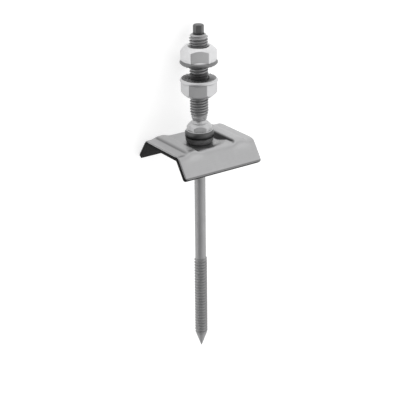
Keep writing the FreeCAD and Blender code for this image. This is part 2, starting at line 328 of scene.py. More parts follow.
rim_place = split_vector(painted_shade_ring, place_group(painted_shade_ring, screw_frame))
across_squared = product(painted_shade_ring, rim_place["X"], rim_place["X"])
deep_squared = product(painted_shade_ring, rim_place["Y"], rim_place["Y"])
rim_radius = add_math(painted_shade_ring, "SQRT", add_math(painted_shade_ring, "ADD", across_squared, deep_squared))
in_rim = product(
    painted_shade_ring,
    soft_step(painted_shade_ring, rim_place["Z"], rim_in.outputs["Low"]),
    soft_step(painted_shade_ring, rim_in.outputs["High"], rim_place["Z"]),
    soft_step(painted_shade_ring, rim_radius, rim_in.outputs["Inner Radius"]),
    soft_step(painted_shade_ring, rim_in.outputs["Outer Radius"], rim_radius),
)
painted_shade_ring.links.new(in_rim, rim_out.inputs["Mask"])
print("Shader group:", painted_shade_ring.name)

# %% [markdown]
# ## Finishes
# Each finish is one Principled shader. The constant numbers stand on the shader itself, and only
# what changes over the surface comes in through a socket: colour, roughness and the bump.

# %% Helpers for a finish
BLUE_TRACE = 1.01


def grey(value):
    """A neutral colour."""
    return (value, value, value * BLUE_TRACE, 1)


def mix_colours(tree, factor, first, second):
    """A Mix node between two colours, each a socket or a plain colour."""
    node = tree.nodes.new("ShaderNodeMix")
    node.data_type = "RGBA"
    tree.links.new(factor, node.inputs["Factor"])
    for name, value in (("A", first), ("B", second)):
        feed(tree, next(item for item in node.inputs if item.name == name and item.type == "RGBA"), value)
    return next(item for item in node.outputs if item.type == "RGBA")


def add_bump(tree, height, strength, distance):
    """A Bump node fed by a height; returns its normal."""
    node = tree.nodes.new("ShaderNodeBump")
    node.inputs["Strength"].default_value = strength
    node.inputs["Distance"].default_value = distance
    tree.links.new(height, node.inputs["Height"])
    return node.outputs[0]


def new_finish(name, metallic):
    """A material with one Principled shader; returns the material, its tree and the shader."""
    material = bpy.data.materials.new(name)
    material.use_nodes = True
    shader = material.node_tree.nodes["Principled BSDF"]
    shader.inputs["Metallic"].default_value = metallic
    return material, material.node_tree, shader


# %% [markdown]
# Steel and aluminium differ only in numbers, so one function makes them all: a slightly mottled
# base, fine marks from drawing or rolling, bright worn edges and painted shade in each crevice. Each
# stretch of the screw has its own numbers, because the photograph shows each in a grey of its own.
# The screw is one steel, so these greys are partly its finish and partly painted light and shade.

# %% Metal finish: base, marks, worn edges and painted crevice shade
LENGTHWAYS = (9.0, 9.0, 0.35)
ALONG_SHEET = (0.25, 6.0, 6.0)
EVEN = (5.0, 5.0, 5.0)
BROAD_MOTTLING = {"Density": (0.35, 0.35, 0.2), "Detail": 3.0, "Contrast": 1.5}
MARKS_WEIGHT = 0.35
MARKS_SHADE = 0.8
MARKS_DEPTH = 0.03 * MM
MARKS_ROUGHNESS = 0.16
CREVICE_ROUGHNESS = 0.2


def metal_finish(
    name, base, worn, crevice_grey, roughness,
    marks=EVEN, bump=0.25, mottling=0.05, painted_wall_shade=None, rim=None, reach=1.6 * MM,
):
    """Steel or aluminium: mottled colour, fine marks, brighter worn edges and painted shade in each crevice.
    """
    material, tree, shader = new_finish(name, 1.0)
    fine = place_group(tree, grain, Density=marks, Detail=5.0, Contrast=1.6)
    broad = place_group(tree, grain, **BROAD_MOTTLING)
    edges = place_group(tree, edge_wear, Radius=0.25 * MM, Strength=3.0)
    # Painted shade in each crevice, from Ambient Occlusion; the same mask makes them duller.
    crevice_shade_mask = place_group(tree, painted_crevice_shade, Reach=reach)
    mottled = mix_colours(tree, broad, grey(base * (1 - mottling)), grey(base * (1 + mottling)))
    marked = mix_colours(tree, product(tree, fine, MARKS_WEIGHT), mottled, grey(base * MARKS_SHADE))
    crevice_shaded = mix_colours(tree, crevice_shade_mask, marked, grey(crevice_grey))
    finished = mix_colours(tree, edges, crevice_shaded, grey(worn))
    # Painted shade on the bead walls, and a painted reflection of the seal on the inner walls.
    for mask_name, shade in (painted_wall_shade or {}).items():
        finished = mix_colours(tree, place_group(tree, bead_walls, mask_name), finished, grey(shade))
    # A ring of painted shade, where one is given.
    if rim is not None:
        limits, shade = rim
        finished = mix_colours(tree, place_group(tree, painted_shade_ring, **limits), finished, grey(shade))
    tree.links.new(finished, shader.inputs["Base Color"])
    spread = product(tree, add_math(tree, "SUBTRACT", fine, MIDDLE), MARKS_ROUGHNESS)
    dulled = add_math(tree, "ADD", spread, roughness)
    dulled = add_math(tree, "ADD", dulled, product(tree, crevice_shade_mask, CREVICE_ROUGHNESS))
    tree.links.new(dulled, shader.inputs["Roughness"])
    tree.links.new(add_bump(tree, fine, bump, MARKS_DEPTH), shader.inputs["Normal"])
    print("Metal finish:", name)
    return material


# %% The metal finishes
ALL_THE_WAY_OUT = 100.0


def ring(low, high, shade, inner=0.0, outer=ALL_THE_WAY_OUT):
    """A ring of painted shade: its limits, in millimetres of the screw's frame, and its grey."""
    return {"Low": low, "High": high, "Inner_Radius": inner, "Outer_Radius": outer}, shade


# Each ring is painted shade: on the flanges under the collar's and the upper nut's hexagons, on the stud's
# thread just above the lower nut, round the stud in the lower nut's mouth, and on the saddle's lower flanks
# and rims.
COLLAR_FLANGE = ring(low=2.9, high=5.8, shade=0.11, inner=6.8)
SHADED_THREAD = ring(low=33.0, high=37.8, shade=0.14)
LOWER_NUT_MOUTH = ring(low=33.5, high=35.0, shade=0.12, outer=6.5)
UPPER_NUT_FLANGE = ring(low=42.2, high=44.7, shade=0.20, inner=8.65)
SADDLE_RIMS = ring(low=-20.0, high=-9.9, shade=0.20)
DRAWN = {"marks": LENGTHWAYS, "bump": 0.35, "mottling": 0.08}
# The collar is painted lighter and more mottled than the rest of the screw: painted highlights. Its flange
# ring is painted shade.
collar_steel = metal_finish(
    "collar_steel", base=0.57, worn=0.76, crevice_grey=0.14, roughness=0.42, bump=0.35, mottling=0.16,
    rim=COLLAR_FLANGE,
)
shank_steel = metal_finish("shank_steel", base=0.42, worn=0.55, crevice_grey=0.10, roughness=0.58, **DRAWN)
thread_steel = metal_finish(
    "thread_steel", base=0.47, worn=0.58, crevice_grey=0.11, roughness=0.52, reach=2.6 * MM,
    rim=SHADED_THREAD, **DRAWN,
)
tapping_steel = metal_finish(
    "tapping_steel", base=0.39, worn=0.48, crevice_grey=0.10, roughness=0.55, reach=3.0 * MM, **DRAWN,
)
pin_steel = metal_finish("pin_steel", base=0.16, worn=0.24, crevice_grey=0.05, roughness=0.46, **DRAWN)
nut_steel = metal_finish(
    "nut_steel", base=0.63, worn=0.76, crevice_grey=0.16, roughness=0.42, rim=LOWER_NUT_MOUTH,
)
# The upper nut is the same pressing as the lower one; its lighter grey is painted light, and its flange ring
# is painted shade.
upper_nut_steel = metal_finish(
    "upper_nut_steel", base=0.72, worn=0.84, crevice_grey=0.16, roughness=0.32, mottling=0.04,
    rim=UPPER_NUT_FLANGE,
)
# The teeth are painted darker than the nuts they belong to: painted shade on the bearing faces.
shaded_teeth_steel = metal_finish("shaded_teeth_steel", base=0.32, worn=0.46, crevice_grey=0.06, roughness=0.45, mottling=0.06)
# The washer's steel is painted near black: painted shade under the collar's flange.
washer_steel = metal_finish("washer_steel", base=0.03, worn=0.06, crevice_grey=0.015, roughness=0.40)
# The saddle's bead walls are painted dark: painted shade, and a painted reflection of the seal where they
# face each other.
saddle_aluminium = metal_finish(
    "saddle_aluminium", base=0.45, worn=0.56, crevice_grey=0.30, roughness=0.36, marks=ALONG_SHEET, bump=0.20,
    mottling=0.03, painted_wall_shade={"Walls": 0.21, "Inner Walls": 0.03}, rim=SADDLE_RIMS,
)

# %% [markdown]
# Rubber is nearly black and dull. What makes it read as rubber is a soft moulded bump, a little
# pale dust on its mottling, and a broad weak gloss instead of a sharp one.

# %% Rubber finish
DUSTY_MOTTLING = {"Density": (0.5, 0.5, 0.5), "Detail": 4.0, "Contrast": 2.2}
RUBBER_ROUGHNESS = 0.62
RUBBER_ROUGHNESS_SPREAD = 0.2
RUBBER_BUMP = 0.5
RUBBER_BUMP_DEPTH = 0.05 * MM


def rubber_finish(name, base, dusty, bumps, gloss):
    """Matte rubber with a moulded bump and a light bloom of dust."""
    material, tree, shader = new_finish(name, 0.0)
    fine = place_group(tree, grain, Density=bumps, Detail=4.0, Contrast=1.8)
    broad = place_group(tree, grain, **DUSTY_MOTTLING)
    tree.links.new(mix_colours(tree, broad, grey(base), grey(dusty)), shader.inputs["Base Color"])
    spread = product(tree, add_math(tree, "SUBTRACT", fine, MIDDLE), RUBBER_ROUGHNESS_SPREAD)
    tree.links.new(add_math(tree, "ADD", spread, RUBBER_ROUGHNESS), shader.inputs["Roughness"])
    tree.links.new(add_bump(tree, fine, RUBBER_BUMP, RUBBER_BUMP_DEPTH), shader.inputs["Normal"])
    shader.inputs["Specular IOR Level"].default_value = gloss
    print("Rubber finish:", name)
    return material


seal_rubber = rubber_finish("seal_rubber", base=0.10, dusty=0.16, bumps=(6.0, 6.0, 6.0), gloss=0.5)
lining_rubber = rubber_finish("lining_rubber", base=0.008, dusty=0.02, bumps=(4.0, 4.0, 4.0), gloss=0.1)

# %% [markdown]
# ## Turned and hexagonal pieces
# A lathe turns a profile round an axis. A hexagon with a turned crown is nearly the same thing: at
# each angle the profile is still a short row of points, only its radius changes with the angle, and
# the crown's cone meets the flats lower at the corners. So one helper makes both. It takes stations,
# each a radius and a height that are either numbers or functions of the angle.

# %% Skin a row of stations round the axis
SIXTH_TURN = math.tau / 6


def at_angle(size, angle):
    """A station's radius or height at an angle."""
    return size(angle) if callable(size) else size


def skin_round_axis(stations, around, first_angle=0.0, closed_ring=False):
    """A closed mesh through the stations. In a closed ring the last station joins the first."""
    skin = bmesh.new()
    angles = [first_angle + math.tau * step / around for step in range(around)]
    rows = []
    for radius, height in stations:
        if radius == 0:
            rows.append([skin.verts.new((0, 0, height))])
            continue
        row = []
        for angle in angles:
            out = at_angle(radius, angle)
            point = (out * math.cos(angle), out * math.sin(angle), at_angle(height, angle))
            row.append(skin.verts.new(point))
        rows.append(row)
    pairs = list(zip(rows, rows[1:])) + ([(rows[-1], rows[0])] if closed_ring else [])
    for low, high in pairs:
        for step in range(around):
            following = (step + 1) % around
            corners = [low[step % len(low)], low[following % len(low)]]
            corners += [high[following % len(high)], high[step % len(high)]]
            skin.faces.new(list(dict.fromkeys(corners)))
    bmesh.ops.recalc_face_normals(skin, faces=skin.faces)
    return skin


def hexagon_radius(width_across_flats, corner_angle):
    """The distance from the axis to a hexagon's side, as a function of the angle."""
    def radius(angle):
        from_corner = (angle - corner_angle) % SIXTH_TURN
        return width_across_flats / 2 / math.cos(from_corner - SIXTH_TURN / 2)
    return radius


def crown_height(radius, crown_radius, top, slope=1.0):
    """How high the crown's cone meets the flats, as a function of the angle."""
    return lambda angle: top - max(radius(angle) - crown_radius, 0) * slope


# %% [markdown]
# A finished piece needs its edges eased, because nothing real is knife sharp and an eased edge
# catches the light. A Bevel modifier does it, and is then applied, so the piece ends as a plain
# mesh at the origin with its place in its points, like the CAD nodes.

# %% Finish a piece
SMOOTH_ANGLE = math.radians(35)


def plain_copy(thing, name):
    """The evaluated object as a plain mesh object with no modifiers."""
    graph = bpy.context.evaluated_depsgraph_get()
    mesh = bpy.data.meshes.new_from_object(thing.evaluated_get(graph))
    mesh.name = name
    bpy.data.objects.remove(thing)
    return add_object(name, mesh)


def finish_piece(skin, name, material, replaced=(), ease=0.0, segments=2):
    """Makes a piece of a skin drawn in the screw's frame, with eased edges, and dresses it."""
    mesh = bpy.data.meshes.new(name)
    skin.to_mesh(mesh)
    skin.free()
    piece = add_object(name + "_draft", mesh)
    if ease:
        bevel = piece.modifiers.new("ease", "BEVEL")
        bevel.width = ease
        bevel.segments = segments
        bevel.limit_method = "ANGLE"
        bevel.angle_limit = SMOOTH_ANGLE
        bevel.miter_outer = "MITER_ARC"
    return dress(plain_copy(piece, name), material, replaced)


def dress(piece, material, replaced=()):
    """Lays a piece in its place, smooths it, gives it its finish and ties it to the model."""
    piece.data.transform(lie)
    piece.data.materials.clear()
    piece.data.materials.append(material)
    piece.data.polygons.foreach_set("use_smooth", [True] * len(piece.data.polygons))
    piece.data.set_sharp_from_angle(angle=SMOOTH_ANGLE)
    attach(piece, "root")
    if replaced:
        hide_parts(*replaced)
    print(piece.name, "has", len(piece.data.polygons), "faces")
    return piece


# %% [markdown]
# ## Threads
# A thread is a groove cut on a helix, so it repeats by a rule, and Geometry Nodes can make it from
# a handful of sizes. The tree starts from a flat grid. Columns go round the rod and rows go along
# it, and each column is shifted up the rod by its share of one pitch. Rows then follow the helix
# exactly, four to a turn: where the root starts and ends, and where the crest starts and ends.
# An envelope at each end holds the thread in, for the bullet shape where the rolling dies ran out
# and for the turned chamfer. The first and the last row shrink to the axis, and the seam is merged,
# which leaves one closed solid.

# %% Helpers for Geometry Nodes
def new_geometry_tree(name, inputs):
    """A Geometry Nodes tree with named inputs; returns the tree and its two end nodes."""
    tree = bpy.data.node_groups.new(name, "GeometryNodeTree")
    for socket_name, kind in inputs:
        tree.interface.new_socket(socket_name, in_out="INPUT", socket_type=kind)
    tree.interface.new_socket("Geometry", in_out="OUTPUT", socket_type="NodeSocketGeometry")
    return tree, tree.nodes.new("NodeGroupInput"), tree.nodes.new("NodeGroupOutput")


def run_tree(tree, name, values):
    """Runs a tree on an empty mesh and returns the result as a plain piece, its faces outwards."""
    holder = add_object(name + "_draft", bpy.data.meshes.new(name + "_draft"))
    modifier = holder.modifiers.new(name, "NODES")
    modifier.node_group = tree
    for item in tree.interface.items_tree:
        if item.in_out == "INPUT":
            modifier[item.identifier] = values[item.name]
    piece = plain_copy(holder, name)
    skin = bmesh.new()
    skin.from_mesh(piece.data)
    bmesh.ops.recalc_face_normals(skin, faces=skin.faces)
    skin.to_mesh(piece.data)
    skin.free()
    return piece


def end_tree(tree, geometry, material_socket, group_output):
    """Ends a tree in Realize Instances and Set Material."""
    realize = tree.nodes.new("GeometryNodeRealizeInstances")
    painted = tree.nodes.new("GeometryNodeSetMaterial")
    tree.links.new(geometry, realize.inputs[0])
    tree.links.new(realize.outputs[0], painted.inputs["Geometry"])
    tree.links.new(material_socket, painted.inputs["Material"])
    tree.links.new(painted.outputs[0], group_output.inputs["Geometry"])


# %% Thread tree: a flat grid and the number of each row
thread_tree, sizes, thread_out = new_geometry_tree("Threaded rod", [
    ("Core Radius", FLOAT), ("Crest Radius", FLOAT), ("Pitch", FLOAT), ("Root Share", FLOAT),
    ("Crest Share", FLOAT), ("Foot Height", FLOAT), ("Foot Radius", FLOAT), ("Foot Run", FLOAT),
    ("Foot Fullness", FLOAT), ("Head Height", FLOAT), ("Head Radius", FLOAT), ("Head Run", FLOAT),
    ("Points Around", "NodeSocketInt"), ("Material", "NodeSocketMaterial"),
])
size = sizes.outputs
rod_math = functools.partial(add_math, thread_tree)
ROWS_PER_TURN = 4
HALF_GRID = 0.5

length = rod_math("SUBTRACT", size["Head Height"], size["Foot Height"])
turns = rod_math("ADD", rod_math("CEIL", rod_math("DIVIDE", length, size["Pitch"])), 1)
last_row = rod_math("ADD", rod_math("MULTIPLY", turns, ROWS_PER_TURN), 2)
sheet_grid = thread_tree.nodes.new("GeometryNodeMeshGrid")
sheet_grid.inputs["Size X"].default_value = 2 * HALF_GRID
sheet_grid.inputs["Size Y"].default_value = 2 * HALF_GRID
thread_tree.links.new(rod_math("ADD", size["Points Around"], 1), sheet_grid.inputs["Vertices X"])
thread_tree.links.new(rod_math("ADD", last_row, 1), sheet_grid.inputs["Vertices Y"])
flat_place = split_vector(thread_tree, thread_tree.nodes.new("GeometryNodeInputPosition").outputs[0])
share_round = rod_math("ADD", flat_place["X"], HALF_GRID)
share_up = rod_math("ADD", flat_place["Y"], HALF_GRID)
row = rod_math("ROUND", rod_math("MULTIPLY", share_up, last_row))
helix_row = rod_math("MAXIMUM", rod_math("SUBTRACT", row, 1), 0)
turn_number = rod_math("FLOOR", rod_math("DIVIDE", helix_row, ROWS_PER_TURN))
step_in_turn = rod_math("SUBTRACT", helix_row, rod_math("MULTIPLY", turn_number, ROWS_PER_TURN))
print("Rows to each turn of a thread:", ROWS_PER_TURN)

# %% Thread form: where in the turn each row lies, and how far out
after_root = rod_math("GREATER_THAN", step_in_turn, 0.5)
at_crest = rod_math("GREATER_THAN", step_in_turn, 1.5)
after_crest = rod_math("GREATER_THAN", step_in_turn, 2.5)
both_shares = rod_math("ADD", size["Root Share"], size["Crest Share"])
flank_share = rod_math("MULTIPLY", rod_math("SUBTRACT", 1, both_shares), 0.5)
past_root = rod_math("MULTIPLY", after_root, size["Root Share"])
past_flank = rod_math("MULTIPLY", at_crest, flank_share)
past_crest = rod_math("MULTIPLY", after_crest, size["Crest Share"])
place_in_turn = rod_math("ADD", rod_math("ADD", past_root, past_flank), past_crest)
whole_turns = rod_math("SUBTRACT", rod_math("ADD", turn_number, share_round), 1)
climb = rod_math("MULTIPLY", rod_math("ADD", whole_turns, place_in_turn), size["Pitch"])
free_height = rod_math("ADD", climb, size["Foot Height"])
height = rod_math("MINIMUM", rod_math("MAXIMUM", free_height, size["Foot Height"]), size["Head Height"])
thread_depth = rod_math("SUBTRACT", size["Crest Radius"], size["Core Radius"])
form_radius = rod_math("ADD", size["Core Radius"], rod_math("MULTIPLY", at_crest, thread_depth))


# %% Envelopes at the foot and the head, and the rod's skin
def envelope(from_end, run, end_radius, fullness):
    """A limit that grows from the end's radius to the crest's over the run."""
    share = rod_math("DIVIDE", from_end, run, clamp=True)
    grown = rod_math("POWER", share, fullness)
    widening = rod_math("SUBTRACT", size["Crest Radius"], end_radius)
    return rod_math("ADD", end_radius, rod_math("MULTIPLY", grown, widening))


from_foot = rod_math("SUBTRACT", height, size["Foot Height"])
from_head = rod_math("SUBTRACT", size["Head Height"], height)
foot_limit = envelope(from_foot, size["Foot Run"], size["Foot Radius"], size["Foot Fullness"])
head_limit = envelope(from_head, size["Head Run"], size["Head Radius"], 1.0)
limited = rod_math("MINIMUM", form_radius, rod_math("MINIMUM", foot_limit, head_limit))
not_first = rod_math("GREATER_THAN", row, 0.5)
not_last = rod_math("LESS_THAN", row, rod_math("SUBTRACT", last_row, 0.5))
skin_radius = rod_math("MULTIPLY", limited, rod_math("MULTIPLY", not_first, not_last))
angle = rod_math("MULTIPLY", share_round, math.tau)
on_rod = join_vector(
    thread_tree,
    X=rod_math("MULTIPLY", skin_radius, rod_math("COSINE", angle)),
    Y=rod_math("MULTIPLY", skin_radius, rod_math("SINE", angle)),
    Z=height,
)
wrap = thread_tree.nodes.new("GeometryNodeSetPosition")
thread_tree.links.new(sheet_grid.outputs["Mesh"], wrap.inputs["Geometry"])
thread_tree.links.new(on_rod, wrap.inputs["Position"])
MERGE_DISTANCE = 0.001 * MM
merge = thread_tree.nodes.new("GeometryNodeMergeByDistance")
merge.inputs["Distance"].default_value = MERGE_DISTANCE
thread_tree.links.new(wrap.outputs[0], merge.inputs[0])
end_tree(thread_tree, merge.outputs[0], size["Material"], thread_out)
print("Geometry tree:", thread_tree.name)

# %% [markdown]
# ## The screw
# The real screw is one piece of drawn wire: a machine thread is rolled on the thick end, a collar
# with a hexagon is upset above the shank, and a coarser tapping thread is rolled on the thin end.
# Here each stretch is its own closed solid, sunk a little into the next, and all hang from one parent.

# %% Sizes of both threads, from the CAD solid
METRIC_DEPTH_SHARE = 0.6134
STUD_RADIUS = 5.0 * MM
STUD_PITCH = 1.5 * MM
STUD_THREAD_DEPTH = METRIC_DEPTH_SHARE * STUD_PITCH
STUD_TOP = 58.6 * MM
STUD_CHAMFER = 1.2 * MM
STUD_TAPER = 4.9 * MM
NECK_TOP = 11.6 * MM
NECK_RADIUS = 3.6 * MM
SHANK_RADIUS = 3.05 * MM
TAPPING_RADIUS = 3.65 * MM
TAPPING_TOP = -70.8 * MM
TAPPING_PITCH = 1.8 * MM
TAPPING_RUNOUT = 1.2 * MM
TIP = -128.8 * MM
TIP_RADIUS = 0.2 * MM
POINT_LENGTH = 9.6 * MM
SINK = 0.3 * MM
print("Depth of the stud's thread, mm:", round(STUD_THREAD_DEPTH / MM, 2))

# %% Both threads, from the one tree
stud = run_tree(thread_tree, "stud", {
    "Core Radius": STUD_RADIUS - STUD_THREAD_DEPTH, "Crest Radius": STUD_RADIUS, "Pitch": STUD_PITCH,
    "Root Share": 0.25, "Crest Share": 0.125,
    "Foot Height": NECK_TOP - SINK, "Foot Radius": NECK_RADIUS, "Foot Run": STUD_TAPER, "Foot Fullness": 0.65,
    "Head Height": STUD_TOP, "Head Radius": STUD_RADIUS - STUD_CHAMFER, "Head Run": STUD_CHAMFER,
    "Points Around": 48, "Material": thread_steel,
})
tapping = run_tree(thread_tree, "tapping", {
    "Core Radius": SHANK_RADIUS, "Crest Radius": TAPPING_RADIUS, "Pitch": TAPPING_PITCH,
    "Root Share": 0.45, "Crest Share": 0.08,
    "Foot Height": TIP, "Foot Radius": TIP_RADIUS, "Foot Run": POINT_LENGTH, "Foot Fullness": 1.0,
    "Head Height": TAPPING_TOP, "Head Radius": SHANK_RADIUS - 0.05 * MM, "Head Run": TAPPING_RUNOUT,
    "Points Around": 40, "Material": tapping_steel,
})
print("Faces in the threads:", len(stud.data.polygons), "and", len(tapping.data.polygons))

# %% Sizes of the plain stretches
NECK_FOOT = 9.8 * MM
NECK_FILLET_RADII = (4.4 * MM, 3.9 * MM)
NECK_FILLET_RISE = 0.5 * MM
DRIVE_FLATS = 5.0 * MM
DRIVE_CORNER_CUT = 0.4 * MM
DRIVE_CORNER_RADIUS = DRIVE_FLATS / math.sqrt(3) - DRIVE_CORNER_CUT
DRIVE_LENGTH = 5.0 * MM
DRIVE_TOP = STUD_TOP + DRIVE_LENGTH
COLLAR_FLATS = 12.0 * MM
COLLAR_CROWN_RADIUS = 5.0 * MM
COLLAR_CONE_RADIUS = 7.0 * MM
COLLAR_FOOT = 3.1 * MM
FLANGE_RADIUS = 7.9 * MM
FLANGE_RIM_TOP = 4.6 * MM
HEXAGON_FOOT = 5.9 * MM
HEXAGON_STEP = 0.02 * MM
SCREW_EASE = 0.12 * MM
FIRST_CORNER = math.radians(90)
FINE_ROUND = 96
SHANK_ROUND = 64
print("Length of the screw, mm:", round((DRIVE_TOP - TIP) / MM, 1))

# %% The plain stretches of the screw
collar_side = hexagon_radius(COLLAR_FLATS, FIRST_CORNER)
drive_side = hexagon_radius(DRIVE_FLATS, FIRST_CORNER)
drive_skin = skin_round_axis([
    (0, STUD_TOP - SINK),
    (drive_side, STUD_TOP - SINK),
    (drive_side, crown_height(drive_side, DRIVE_CORNER_RADIUS, DRIVE_TOP)),
    (lambda angle: min(drive_side(angle), DRIVE_CORNER_RADIUS), DRIVE_TOP),
    (0, DRIVE_TOP),
], FINE_ROUND // 2, FIRST_CORNER)
collar_skin = skin_round_axis([
    (0, COLLAR_FOOT),
    (FLANGE_RADIUS, COLLAR_FOOT),
    (FLANGE_RADIUS, FLANGE_RIM_TOP),
    (COLLAR_CONE_RADIUS, HEXAGON_FOOT),
    (collar_side, HEXAGON_FOOT + HEXAGON_STEP),
    (collar_side, crown_height(collar_side, COLLAR_CROWN_RADIUS, NECK_FOOT)),
    (COLLAR_CROWN_RADIUS, NECK_FOOT),
    (NECK_FILLET_RADII[0], NECK_FOOT),
    (NECK_FILLET_RADII[1], NECK_FOOT + NECK_FILLET_RISE),
    (NECK_RADIUS, NECK_TOP - NECK_FILLET_RISE),
    (NECK_RADIUS, NECK_TOP),
    (0, NECK_TOP),
], FINE_ROUND, FIRST_CORNER)
shank_skin = skin_round_axis([
    (0, COLLAR_FOOT + SINK),
    (SHANK_RADIUS, COLLAR_FOOT + SINK),
    (SHANK_RADIUS, TAPPING_TOP - SINK),
    (0, TAPPING_TOP - SINK),
], SHANK_ROUND)
dress(stud, thread_steel, ["hanger_screw"])
dress(tapping, tapping_steel)
finish_piece(drive_skin, "drive_pin", pin_steel, ease=SCREW_EASE)
finish_piece(collar_skin, "collar", collar_steel, ease=SCREW_EASE)
finish_piece(shank_skin, "shank", shank_steel)

# %% [markdown]
# ## Flange nuts
# Both nuts are the same pressing: a hexagon with a turned crown, and a wide flange that spreads the
# load on the bracket. The upper one stands flange down and the lower one flange up. The profile is
# drawn once with the bearing face at zero and mirrored in height for the lower nut.

# %% Sizes of the nuts
NUT_FLATS = 17.0 * MM
NUT_HEIGHT = 10.0 * MM
NUT_FLANGE_RADIUS = 10.2 * MM
NUT_RIM = 1.5 * MM
NUT_FLANGE_CHAMFER = 0.8 * MM
NUT_CONE_TOP = 2.7 * MM
NUT_CROWN_RADIUS = 7.0 * MM
NUT_CROWN_SLOPE = 0.85
NUT_BORE_RADIUS = 5.05 * MM
NUT_COUNTERSINK_RADIUS = 6.0 * MM
NUT_EASE = 0.2 * MM
BRACKET_GAP = 7.7 * MM
UPPER_NUT_SEAT = LOWER_NUT_SEAT + BRACKET_GAP
LOWER_NUT_CORNER = math.radians(82)
print("Width over a nut's corners, mm:", round(NUT_FLATS / math.cos(SIXTH_TURN / 2) / MM, 1))


# %% Skin one nut
def nut_skin(seat_height, way_up, corner_angle):
    """A flange nut whose bearing face is at seat_height; way_up is 1 or -1."""
    side = hexagon_radius(NUT_FLATS, corner_angle)
    crown = crown_height(side, NUT_CROWN_RADIUS, NUT_HEIGHT, NUT_CROWN_SLOPE)
    cone_slope = (NUT_CONE_TOP - NUT_RIM) / (NUT_FLANGE_RADIUS - NUT_FLATS / 2)
    sink = NUT_COUNTERSINK_RADIUS - NUT_BORE_RADIUS
    skin = skin_round_axis([
        (NUT_BORE_RADIUS, sink),
        (NUT_COUNTERSINK_RADIUS, 0),
        (NUT_FLANGE_RADIUS - NUT_FLANGE_CHAMFER, 0),
        (NUT_FLANGE_RADIUS, NUT_FLANGE_CHAMFER),
        (NUT_FLANGE_RADIUS, NUT_RIM),
        (side, lambda angle: NUT_RIM + (NUT_FLANGE_RADIUS - side(angle)) * cone_slope),
        (side, crown),
        (NUT_CROWN_RADIUS, NUT_HEIGHT),
        (NUT_COUNTERSINK_RADIUS, NUT_HEIGHT),
        (NUT_BORE_RADIUS, NUT_HEIGHT - sink),
    ], FINE_ROUND, corner_angle, closed_ring=True)
    for point in skin.verts:
        point.co.z = seat_height + way_up * point.co.z
    bmesh.ops.recalc_face_normals(skin, faces=skin.faces)
    return skin


for skin, name, steel, node in (
    (nut_skin(UPPER_NUT_SEAT, 1, FIRST_CORNER), "upper_flange_nut", upper_nut_steel, "upper_nut"),
    (nut_skin(LOWER_NUT_SEAT, -1, LOWER_NUT_CORNER), "lower_flange_nut", nut_steel, "lower_nut"),
):
    finish_piece(skin, name, steel, [node], ease=NUT_EASE, segments=3)

# %% [markdown]
# The bearing faces carry a ring of small ratchet teeth that bite into the bracket, so the nuts do
# not shake loose. One tooth is a low wedge. Geometry Nodes put a copy at each step round the axis.

# %% Build the serration tree
tooth_tree, tooth_sizes, tooth_out = new_geometry_tree("Serrations", [
    ("Teeth", "NodeSocketInt"), ("Inner Radius", FLOAT), ("Outer Radius", FLOAT), ("Tooth Height", FLOAT),
    ("Seat Height", FLOAT), ("Facing", FLOAT), ("Material", "NodeSocketMaterial"),
])
tooth = tooth_sizes.outputs
tooth_math = functools.partial(add_math, tooth_tree)
HALF_BLOCK = 0.5
TOOTH_FILL = 0.92
RAMP_START = 0.05
RAMP_RISE = 0.85
TOOTH_SINK = 0.1 * MM

block = tooth_tree.nodes.new("GeometryNodeMeshCube")
corner = split_vector(tooth_tree, tooth_tree.nodes.new("GeometryNodeInputPosition").outputs[0])
outward = tooth_math("ADD", corner["X"], HALF_BLOCK)
sideways = tooth_math("ADD", corner["Y"], HALF_BLOCK)
raised = tooth_math("GREATER_THAN", corner["Z"], 0)
tooth_length = tooth_math("SUBTRACT", tooth["Outer Radius"], tooth["Inner Radius"])
tooth_radius = tooth_math("ADD", tooth["Inner Radius"], tooth_math("MULTIPLY", outward, tooth_length))
tooth_angle = tooth_math("DIVIDE", tooth_math("MULTIPLY", sideways, TOOTH_FILL * math.tau), tooth["Teeth"])
ramp = tooth_math("ADD", tooth_math("MULTIPLY", sideways, RAMP_RISE), RAMP_START)
rise = product(tooth_tree, raised, ramp, tooth["Tooth Height"])
facing_rise = tooth_math("MULTIPLY", tooth_math("SUBTRACT", rise, TOOTH_SINK), tooth["Facing"])
wedge_place = join_vector(
    tooth_tree,
    X=tooth_math("MULTIPLY", tooth_radius, tooth_math("COSINE", tooth_angle)),
    Y=tooth_math("MULTIPLY", tooth_radius, tooth_math("SINE", tooth_angle)),
    Z=tooth_math("ADD", facing_rise, tooth["Seat Height"]),
)
wedge = tooth_tree.nodes.new("GeometryNodeSetPosition")
tooth_tree.links.new(block.outputs["Mesh"], wedge.inputs["Geometry"])
tooth_tree.links.new(wedge_place, wedge.inputs["Position"])

# %% Copy the wedge round the axis
steps = tooth_tree.nodes.new("GeometryNodeMeshLine")
tooth_tree.links.new(tooth["Teeth"], steps.inputs["Count"])
steps.inputs["Offset"].default_value = (0, 0, 0)
step_angle = tooth_math("DIVIDE", math.tau, tooth["Teeth"])
turned_by = tooth_math("MULTIPLY", tooth_tree.nodes.new("GeometryNodeInputIndex").outputs[0], step_angle)
copies = tooth_tree.nodes.new("GeometryNodeInstanceOnPoints")
tooth_tree.links.new(steps.outputs["Mesh"], copies.inputs["Points"])
tooth_tree.links.new(wedge.outputs[0], copies.inputs["Instance"])
tooth_tree.links.new(join_vector(tooth_tree, Z=turned_by), copies.inputs["Rotation"])
end_tree(tooth_tree, copies.outputs[0], tooth["Material"], tooth_out)
print("Geometry tree:", tooth_tree.name)

